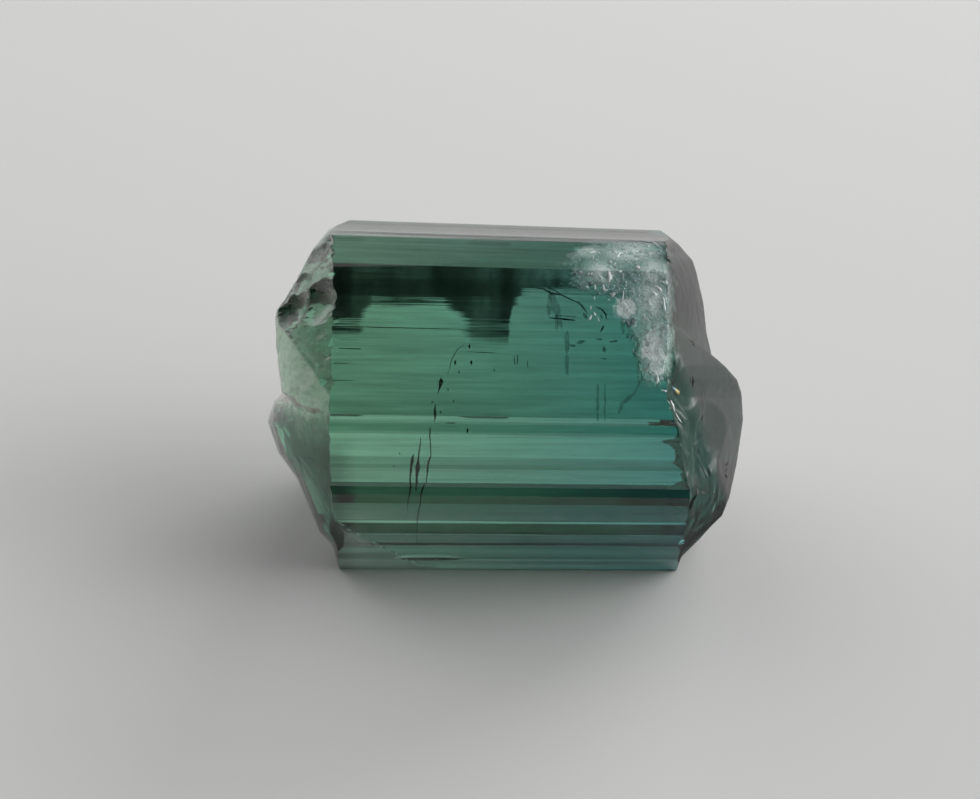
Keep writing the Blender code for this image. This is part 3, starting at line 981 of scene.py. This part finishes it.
# Painted glints: white flakes on the skin that stand in for sparkles of light.
GLINTS = [
    [(2.62, 6.38, 0.05), (2.64, 6.25, 0.12), (2.62, 6.12, 0.06)], [(2.36, 6.28, 0.04), (2.41, 6.22, 0.08)],
    [(2.26, 6.03, 0.03), (2.27, 5.94, 0.06)], [(2.47, 6.03, 0.03), (2.49, 5.94, 0.06)],
    [(2.04, 5.98, 0.02), (2.08, 5.96, 0.04)], [(2.24, 5.72, 0.02), (2.25, 5.67, 0.03)],
    [(2.12, 6.85, 0.03), (2.2, 6.88, 0.05), (2.28, 6.91, 0.02)],
    [(2.84, 6.78, 0.05), (2.88, 6.84, 0.03), (2.94, 6.91, 0.02)], [(3.22, 6.92, 0.02), (3.36, 6.94, 0.04)],
    [(3.84, 6.04, 0.05), (3.94, 5.95, 0.08)], [(3.74, 5.87, 0.03), (3.8, 5.84, 0.06)],
    [(4.02, 5.75, 0.03), (4.05, 5.45, 0.05)], [(3.88, 3.72, 0.03), (3.88, 3.62, 0.07), (3.86, 3.53, 0.03)],
    [(2.16, 5.48, 0.02), (2.15, 5.4, 0.05)], [(2.18, 5.24, 0.03), (2.13, 5.15, 0.06)],
    [(2.24, 5.32, 0.02), (2.26, 5.26, 0.04)], [(2.34, 5.18, 0.02), (2.37, 5.1, 0.03)],
    [(3.0, 5.9, 0.02), (2.97, 5.68, 0.04)], [(4.22, 3.08, 0.03), (4.26, 2.95, 0.07), (4.31, 2.8, 0.03)],
    [(4.35, 2.74, 0.03), (4.44, 2.6, 0.05), (4.5, 2.52, 0.02)], [(3.98, 3.35, 0.03), (4.08, 3.32, 0.05)],
    [(3.5, 7.24, 0.02), (3.8, 7.2, 0.04), (3.98, 7.05, 0.02)],
]
# The scar's dusty edges, dark marks that are painted shade of pits and scratches on the right break, and one
# flake painted as a rainbow glint.
SCARS = [
    [
        (-4.38, -0.12, 0.04), (-4.05, -0.37, 0.08), (-3.26, -0.79, 0.07), (-2.44, -1.22, 0.08),
        (-1.8, -1.36, 0.03),
    ],
    [(-4.28, -0.42, 0.03), (-3.95, -0.62, 0.06), (-3.55, -0.86, 0.04)],
    [(-4.12, -0.3, 0.03), (-3.75, -0.58, 0.05), (-3.4, -0.76, 0.03)],
]
# Painted shade: dark marks on the right break that stand in for the shade in its pits and scratches.
PIT_SHADES = [
    [(4.8, 3.7, 0.03), (4.83, 3.6, 0.07), (4.81, 3.5, 0.05), (4.83, 3.42, 0.02)],
    [(4.74, 3.68, 0.02), (4.76, 3.56, 0.03)], [(5.06, 3.58, 0.015), (5.07, 3.5, 0.03)],
    [(5.11, 2.72, 0.02), (5.08, 2.62, 0.06), (5.05, 2.52, 0.02)], [(4.78, 4.74, 0.01), (4.86, 4.66, 0.03)],
    [(4.74, 4.66, 0.01), (4.84, 4.59, 0.02)], [(4.8, 4.56, 0.01), (4.88, 4.52, 0.02)],
    [(5.84, 1.44, 0.01), (5.8, 1.36, 0.03)], [(5.82, 1.3, 0.01), (5.77, 1.2, 0.03)],
    [(5.76, 1.12, 0.01), (5.81, 1.04, 0.03)], [(5.07, 3.34, 0.004), (5.08, 3.1, 0.006), (5.09, 2.8, 0.004)],
    [(4.84, 1.62, 0.005), (4.93, 1.72, 0.016), (5.03, 1.52, 0.005)],
    [(4.98, 1.55, 0.005), (5.18, 1.16, 0.018), (5.24, 1.02, 0.005)],
    [(4.88, 0.86, 0.005), (5.12, 0.74, 0.022), (5.42, 0.6, 0.022), (5.55, 0.6, 0.005)],
]
# A painted highlight: one glint in rainbow colours on the right break.
RAINBOW_GLINT = [[(4.27, 3.42, 0.03), (4.33, 3.36, 0.1), (4.4, 3.29, 0.1), (4.44, 3.24, 0.03)]]

# Pieces made of threads, as (name, lines, depth behind the skin in mm, solid look).
THREADS_INSIDE = [
    ("needles", NEEDLES, 0.12, "dark_mineral"),
    ("specks", SPECKS, 0.12, "dark_mineral"),
    ("smudges", SMUDGES, 0.15, "dark_smudge"),
    ("veils", VEILS, 0.30, "dark_veil"),
]
THREADS_ON_SKIN = [
    ("glints", GLINTS, -0.04, "painted_glint_splinters"),
    ("scars", SCARS, -0.02, "pale_scar"),
    ("painted_pit_shade", PIT_SHADES, -0.03, "dark_mineral"),
    ("painted_rainbow_glint", RAINBOW_GLINT, -0.05, "painted_rainbow_glint"),
]
CONTENT_SEED = 11
THREAD_SIDES = 6
THREAD_STEP = 0.12             # mm between the rings of a thread
THREAD_WANDER = 0.006          # mm that it strays sideways
THREAD_WIDTHS = (0.75, 1.25)   # how its width varies
DEPTH_SPREAD = 0.05            # mm, how much deeper than its piece's depth a thread may lie
TIP_LENGTH = 2                 # of the last ring's radii
SPECK_SHAPE = [(0.5, 1.0), (0.0, 1.1), (-0.6, 0.8)]    # a speck's (rise, width), in its own width
TO_VIEWER = Vector((0, -0.8, 0.6))
RAY_START = 5                  # mm in front of the front's plane

# The splinters of the bruise: how many, the (x, rise, reach) of their heart, and ranges in mm.
Splinters = namedtuple("Splinters", "name count heart sizes depths flatness look")
BRUISE_SPLINTERS = [
    Splinters("bruise_cloud", 70, (4.0, 4.7, 0.75), (0.05, 0.16), (0.00, 0.06), 0.10, "pale_splinters"),
    Splinters("bruise_haze", 90, (3.0, 6.6, 1.1), (0.03, 0.12), (-0.03, 0.04), 0.10, "pale_splinters"),
    Splinters("bruise_sparks", 120, (2.9, 6.2, 1.0), (0.015, 0.045), (-0.04, 0.01), 0.3, "painted_glint_splinters"),
]
# The bruise lies between two lines of (rise, x), within these ranges in mm.
BRUISE_LEFT = [
    (3.4, 4.0), (3.6, 3.7), (3.8, 3.45), (4.4, 3.2), (5.0, 3.0), (5.5, 2.7), (6.1, 1.8), (6.5, 1.4),
    (7.1, 2.5),
]
BRUISE_RIGHT = [(3.4, 4.05), (5.0, 4.1), (6.2, 4.1), (7.1, 4.0)]
BRUISE_X = (1.4, 4.2)
BRUISE_RISE = (3.4, 7.1)
# A splinter's length, width and dents as shares of its size, and how it is bent along and across.
SPLINTER_LENGTH = (0.5, 1.2)
SPLINTER_WIDTH = (0.3, 0.8)
SPLINTER_DENTS = (0.7, 1.2)
SPLINTER_BEND = (0.8, 0.5)


def inside_front(front, x, rise, depth):
    """The place in metres at x and a rise, so deep behind the front."""
    y, z = unslanted(rise, np.interp(rise, *front) + depth)
    return Vector(placed(np.array([x]), np.array([[y, z]]))[0])


def behind_skin(skin, front, x, rise, depth):
    """The place that lies the depth behind the crystal's skin, as seen from the front."""
    plain = inside_front(front, x, rise, 0.0)
    inwards = (inside_front(front, x, rise, 1.0) - plain).normalized()
    hit = skin.ray_cast(plain - inwards * RAY_START * MM, inwards)[0]
    return (hit or plain) + inwards * depth * MM


def thread(mesh, path, widths):
    """Add a closed thread through the places of a path, pointed at both ends."""
    rings = []
    for k, (place, width) in enumerate(zip(path, widths)):
        ahead = (path[min(k + 1, len(path) - 1)] - path[max(k - 1, 0)]).normalized()
        side = ahead.cross(TO_VIEWER).normalized()
        spots = [Quaternion(ahead, math.tau * i / THREAD_SIDES) @ side for i in range(THREAD_SIDES)]
        rings.append([mesh.verts.new(place + spot * width / 2) for spot in spots])
    around = [(i, (i + 1) % THREAD_SIDES) for i in range(THREAD_SIDES)]
    for near, far in zip(rings, rings[1:]):
        for i, j in around:
            mesh.faces.new((near[i], near[j], far[j], far[i]))
    for ring, ahead, turn in ((rings[0], path[0] - path[1], -1), (rings[-1], path[-1] - path[-2], 1)):
        centre = sum((v.co for v in ring), Vector()) / THREAD_SIDES
        tip = mesh.verts.new(centre + ahead.normalized() * (ring[0].co - centre).length * TIP_LENGTH)
        for pair in around:
            mesh.faces.new((tip, *(ring[i] for i in pair[::turn])))


def bowed(points, dice):
    """The points of a thread with more between them, each a little off the straight line."""
    fuller = [points[0]]
    for start, end in zip(points, points[1:]):
        steps = max(1, round(math.dist(start[:2], end[:2]) / THREAD_STEP))
        for step in range(1, steps + 1):
            x, rise, width = (a + (b - a) * step / steps for a, b in zip(start, end))
            fuller.append((x + dice.gauss(0, THREAD_WANDER), rise, width * dice.uniform(*THREAD_WIDTHS)))
    return fuller


def make_threads(skin, front, dice, name, lines, depth, look):
    """Threads and specks so deep behind the crystal's skin, as one piece."""
    mesh = bmesh.new()
    for line in lines:
        if len(line) == 1:
            x, rise, width = line[0]
            line = [(x, rise + width * up, width * wide) for up, wide in SPECK_SHAPE]
        spots = bowed(line, dice)
        below = depth + dice.uniform(0, DEPTH_SPREAD)
        path = [behind_skin(skin, front, x, rise, below) for x, rise, _ in spots]
        thread(mesh, path, [width * MM for _, _, width in spots])
    finish_piece(name, mesh, look)


def finish_piece(name, mesh, look):
    """Make a piece of the mesh with one of the solid looks, in the crystal's slot."""
    bmesh.ops.recalc_face_normals(mesh, faces=mesh.faces)
    piece = new_piece(name, mesh_data(name, mesh))
    piece.data.shade_smooth()
    piece.data.materials.append(solid_look(look))


def splinter(mesh, place, size, flatness, dice):
    """Add one crumpled, flat splinter of broken crystal."""
    ball = bmesh.ops.create_icosphere(mesh, subdivisions=1, radius=1.0)["verts"]
    turn = Quaternion([dice.gauss(0, 1) for _ in range(4)]).normalized()
    length = size * dice.uniform(*SPLINTER_LENGTH)
    width = size * dice.uniform(*SPLINTER_WIDTH)
    stretch = Vector((length, width, size * flatness))
    for vert in ball:
        bent = vert.co * dice.uniform(*SPLINTER_DENTS)
        bent.z += SPLINTER_BEND[0] * bent.x * bent.x + SPLINTER_BEND[1] * bent.y
        vert.co = place + turn @ Vector([a * b for a, b in zip(bent, stretch)])


def bruise_spots(count, heart, dice):
    """Random (x, rise) places in the bruise, crowded towards its heart."""
    spots = []
    while len(spots) < count:
        x, rise = dice.uniform(*BRUISE_X), dice.uniform(*BRUISE_RISE)
        near = math.exp(-((x - heart[0]) ** 2 + (rise - heart[1]) ** 2) / heart[2] ** 2)
        if read_line(BRUISE_LEFT, rise) < x < read_line(BRUISE_RIGHT, rise) and dice.random() < near:
            spots.append((x, rise))
    return spots


def make_bruise(front, dice):
    """The crushed corner: many splinters just under the skin, and a few white ones that stand in for
    sparkles, as painted highlights.
    """
    for kind in BRUISE_SPLINTERS:
        mesh = bmesh.new()
        for x, rise in bruise_spots(kind.count, kind.heart, dice):
            place = inside_front(front, x, rise, dice.uniform(*kind.depths))
            splinter(mesh, place, dice.uniform(*kind.sizes) * MM, kind.flatness, dice)
        finish_piece(kind.name, mesh, kind.look)


def make_contents(skin):
    """Everything dark or pale inside the crystal or on its skin."""
    dice = random.Random(CONTENT_SEED)
    front = front_line(section_outline()[0])
    for kind in THREADS_INSIDE:
        make_threads(skin, front, dice, *kind)
    make_bruise(front, dice)
    for kind in THREADS_ON_SKIN:
        make_threads(skin, front, dice, *kind)


# ---------------- the studio
GLOWS = [(0, 12, 4.8), (135, 25, 1.75)]    # azimuth, elevation and strength
GLOW_POWER = 6.0
AMBIENT = 0.02
WINDOW_POWER = 0.24
WINDOW_SIZE = 0.12             # m
WINDOW_AWAY = (60, 18, 0.18)   # azimuth, elevation and distance in m
WINDOW_AIM = (0, 0, 0.004)     # m
FLOOR_REACH = 0.6              # m from the crystal to each side

# The camera stands for the photograph's: so many pixels show a millimetre of the crystal's front.
PICTURE_WIDTH = 980
PIXEL = 0.001 / 38.9
SENSOR_WIDTH = 36
CAMERA_AIM = (-0.41, 0, 3.53)  # mm
CAMERA_DISTANCE = 0.16         # m
CAMERA_ELEVATION = 32.4
CAMERA_ROLL = 0.5
NEAR_CLIP = 0.005              # m
FRONT_NEARER = 0.0036          # m that the front is nearer than the aim
LIGHT_BOUNCES = 24             # enough for light to cross the clear crystal and its splinters


def make_floor():
    """A plain pale table under the crystal."""
    mesh = bmesh.new()
    bmesh.ops.create_grid(mesh, x_segments=1, y_segments=1, size=FLOOR_REACH)
    floor = new_object("floor", mesh_data("floor", mesh))
    floor.data.materials.append(table_top())


def make_sky():
    """Two soft glows, from the right and from behind on the left, in a dim room."""
    world = bpy.data.worlds.new("studio")
    world.use_nodes = True
    bpy.context.scene.world = world
    nodes = Nodes(world.node_tree)
    look = nodes.add("TexCoord").outputs["Generated"]
    look = nodes.add("VectorMath", look, operation="NORMALIZE").outputs[0]
    strength = AMBIENT
    for azimuth, elevation, value in GLOWS:
        aim = nodes.add("VectorMath", look, direction(azimuth, elevation), operation="DOT_PRODUCT")
        glow = nodes.math("POWER", nodes.most(aim.outputs["Value"], 0.0), GLOW_POWER)
        strength = nodes.plus(nodes.times(glow, value), strength)
    background = world.node_tree.nodes["Background"]
    background.inputs["Color"].default_value = (1, 1, 1, 1)
    nodes.join(background.inputs["Strength"], strength)


def make_window():
    """The square soft light behind the crystal on the right."""
    light = bpy.data.lights.new("window", "AREA")
    light.size = WINDOW_SIZE
    light.energy = WINDOW_POWER
    window = new_object("window", light)
    azimuth, elevation, distance = WINDOW_AWAY
    window.location = direction(azimuth, elevation) * distance
    window.visible_transmission = False
    window.visible_glossy = False
    window.rotation_mode = "QUATERNION"
    window.rotation_quaternion = (Vector(WINDOW_AIM) - window.location).to_track_quat("-Z", "Y")


def make_camera():
    """The camera above the front, with a lens that gives the crystal its size in the photograph."""
    camera = bpy.data.cameras.new("camera")
    camera.sensor_width = SENSOR_WIDTH
    camera.lens = SENSOR_WIDTH * (CAMERA_DISTANCE - FRONT_NEARER) / (PICTURE_WIDTH * PIXEL)
    camera.clip_start = NEAR_CLIP
    holder = new_object("camera", camera)
    away = direction(-90, CAMERA_ELEVATION)
    holder.location = Vector(CAMERA_AIM) * MM + away * CAMERA_DISTANCE
    holder.rotation_mode = "QUATERNION"
    roll = Quaternion((0, 0, 1), math.radians(CAMERA_ROLL))
    holder.rotation_quaternion = (-away).to_track_quat("-Z", "Y") @ roll
    bpy.context.scene.camera = holder


make_camera()
make_sky()
make_window()
make_floor()
make_contents(make_crystal())
bpy.context.scene.view_settings.view_transform = "Standard"
bpy.context.scene.cycles.max_bounces = LIGHT_BOUNCES
bpy.context.scene.cycles.transmission_bounces = LIGHT_BOUNCES
